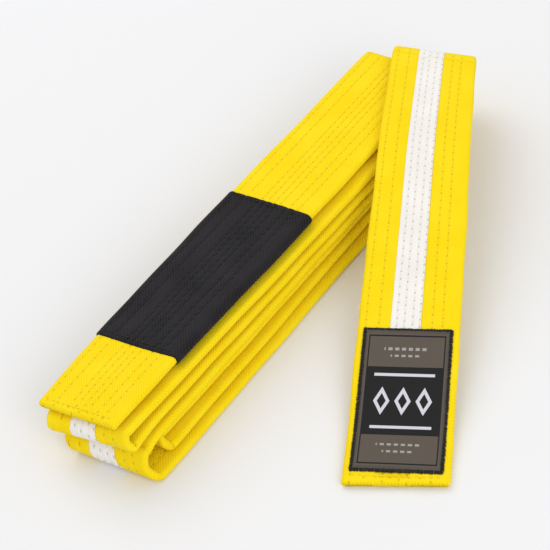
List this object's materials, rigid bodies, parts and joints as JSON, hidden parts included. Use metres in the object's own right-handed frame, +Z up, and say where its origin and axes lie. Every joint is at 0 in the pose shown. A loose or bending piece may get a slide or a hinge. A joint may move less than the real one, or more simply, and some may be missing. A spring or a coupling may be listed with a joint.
{
  "type": "martial arts belt",
  "caption": "Folded cotton belt for a martial arts uniform, yellow with a white centre stripe, a black rank bar and a woven label; the label leg lifts off the stack",
  "frame": {"origin": "the middle of the bounding box in plan, at floor height, where the folded belt rests", "axes": "+Z is up from the floor. +Y runs along the folded stack from the open tip end to the back folds and is the object's longest extent. +X points from the stack to the side on which the label leg comes down"},
  "size_m": [0.148, 0.2594, 0.0347],
  "materials": {
    "yellow_cotton": "twill weave, matte",
    "core_cotton": "raw cotton",
    "white_tape": "plain weave, matte",
    "black_cotton": "twill weave, matte",
    "yellow_thread": "spun thread",
    "white_thread": "spun thread",
    "black_thread": "spun thread",
    "label_weave": "damask weave"
  },
  "bodies": {
    "stack": {"cover_stack": "yellow_cotton", "core_ply_lower_stack": "core_cotton", "core_ply_upper_stack": "core_cotton", "centre_stripe_stack": "white_tape", "tip_hem_turn_in": "yellow_cotton", "tip_hem_stitching": "yellow_thread", "topstitch_row_1_stack": "yellow_thread", "topstitch_row_2_stack": "yellow_thread", "topstitch_row_3_stack": "yellow_thread", "topstitch_row_4_stack": "yellow_thread", "rank_bar_sleeve": "black_cotton", "rank_bar_cross_stitching_tip_side": "black_thread", "rank_bar_cross_stitching_inner_side": "black_thread", "rank_bar_row_stitching_1": "black_thread", "rank_bar_row_stitching_2": "black_thread", "rank_bar_row_stitching_3": "black_thread", "rank_bar_row_stitching_4": "black_thread"},
    "label_leg": {"cover_label_leg": "yellow_cotton", "core_ply_lower_label_leg": "core_cotton", "core_ply_upper_label_leg": "core_cotton", "centre_stripe_label_leg": "white_tape", "label_hem_turn_in": "yellow_cotton", "label_hem_stitching": "yellow_thread", "topstitch_row_1_label_leg": "yellow_thread", "topstitch_row_2_label_leg": "yellow_thread", "topstitch_row_3_label_leg": "yellow_thread", "topstitch_row_4_label_leg": "yellow_thread", "stripe_stitch_row_1_label_leg": "white_thread", "stripe_stitch_row_2_label_leg": "white_thread", "woven_label": "label_weave", "label_edge_stitching_left": "black_thread", "label_edge_stitching_right": "black_thread", "label_edge_stitching_upper": "black_thread", "label_edge_stitching_lower": "black_thread"}
  },
  "joints": [
    {"name": "label_leg_lift", "type": "hinge", "parent": "stack", "child": "label_leg", "pos_m": [-0.03715, 0.11413, 0.0345], "axis": [-0.9767, -0.2147, 0], "range_deg": [0, 60]}
  ]
}
